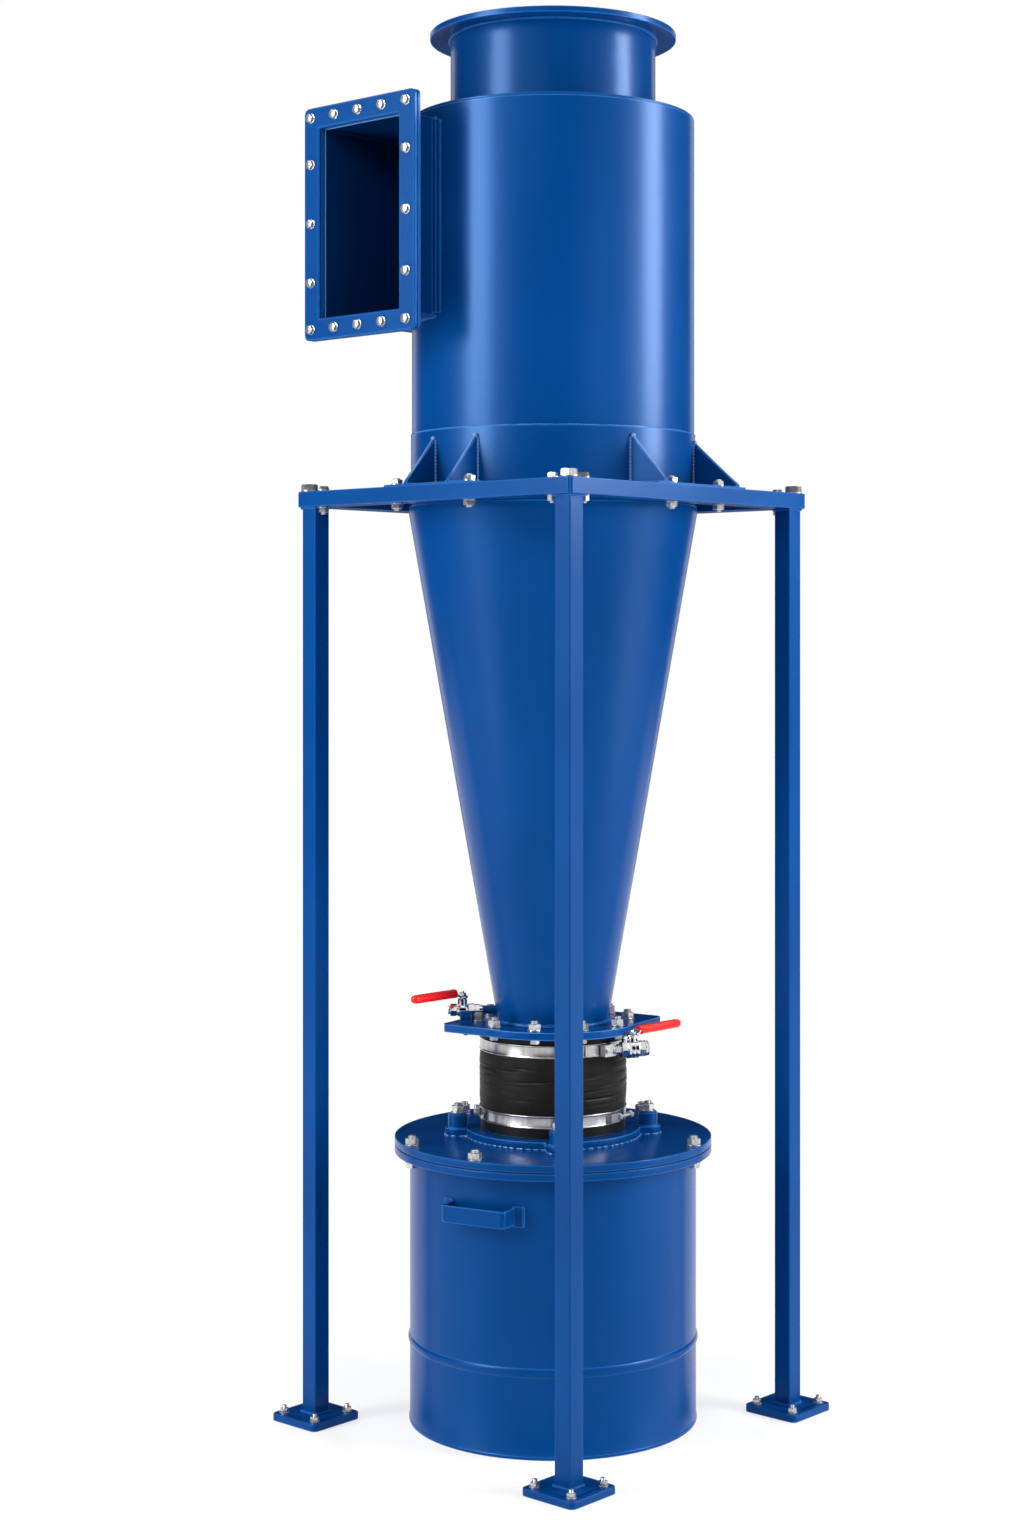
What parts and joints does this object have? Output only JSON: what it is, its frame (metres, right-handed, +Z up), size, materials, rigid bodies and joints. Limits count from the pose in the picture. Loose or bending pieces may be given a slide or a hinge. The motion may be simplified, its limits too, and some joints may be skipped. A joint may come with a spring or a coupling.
{
  "type": "cyclone dust separator",
  "caption": "Cyclone dust separator with tangential inlet, conical body, flexible sleeve, bolted dust drum and a four-legged frame.",
  "frame": {"origin": "on the ground, on the axis of the cyclone, midway between the four feet", "axes": "+Z up along the cyclone axis; -Y is the way the inlet flange faces; +X is to the right of someone who faces the inlet"},
  "size_m": [0.834, 0.834, 2.895],
  "materials": {
    "black_rubber": "black reinforced rubber, lightly wrinkled",
    "blue_paint": "glossy blue powder coat with a fine hammered texture",
    "bright_steel": "bright stainless steel",
    "chrome_plate": "bright plating",
    "gasket_rubber": "dark sheet gasket",
    "red_vinyl": "glossy red dipped vinyl",
    "valve_paint": "glossy blue paint on a cast body"
  },
  "bodies": {
    "separator": {"band_saddle": "bright_steel", "band_valve": "chrome_plate", "barrel_lower": "blue_paint", "barrel_upper": "blue_paint", "beam_back": "blue_paint", "beam_front": "blue_paint", "beam_left": "blue_paint", "beam_right": "blue_paint", "clamp_lower": "bright_steel", "clamp_upper": "bright_steel", "cone": "blue_paint", "cone_flange": "blue_paint", "cone_spigot": "blue_paint", "cone_valve": "valve_paint", "drum_body": "blue_paint", "drum_handle_back": "blue_paint", "drum_handle_front": "blue_paint", "drum_lid": "blue_paint", "drum_rim": "blue_paint", "foot_plate_back": "blue_paint", "foot_plate_front": "blue_paint", "foot_plate_left": "blue_paint", "foot_plate_right": "blue_paint", "inlet_counter_flange": "blue_paint", "inlet_duct": "blue_paint", "inlet_flange": "blue_paint", "leg_back": "blue_paint", "leg_front": "blue_paint", "leg_left": "blue_paint", "leg_right": "blue_paint", "lid_collar": "blue_paint", "lid_gasket": "gasket_rubber", "lug_back": "blue_paint", "lug_front": "blue_paint", "lug_left": "blue_paint", "lug_right": "blue_paint", "outlet_flange": "blue_paint", "outlet_pipe": "blue_paint", "roof_plate": "blue_paint", "sleeve": "black_rubber"},
    "cone_valve_lever_arm": {"cone_valve_grip": "red_vinyl", "cone_valve_lever": "chrome_plate"},
    "band_valve_lever_arm": {"band_valve_grip": "red_vinyl", "band_valve_lever": "chrome_plate"}
  },
  "joints": [
    {"name": "cone_valve_turn", "type": "hinge", "parent": "separator", "child": "cone_valve_lever_arm", "pos_m": [-0.13435, -0.13435, 0.8783], "axis": [0, 0, 1], "range_deg": [-90, 0]},
    {"name": "band_valve_turn", "type": "hinge", "parent": "separator", "child": "band_valve_lever_arm", "pos_m": [0.19057, 0.03053, 0.8113], "axis": [0, 0, 1], "range_deg": [-90, 0]}
  ]
}
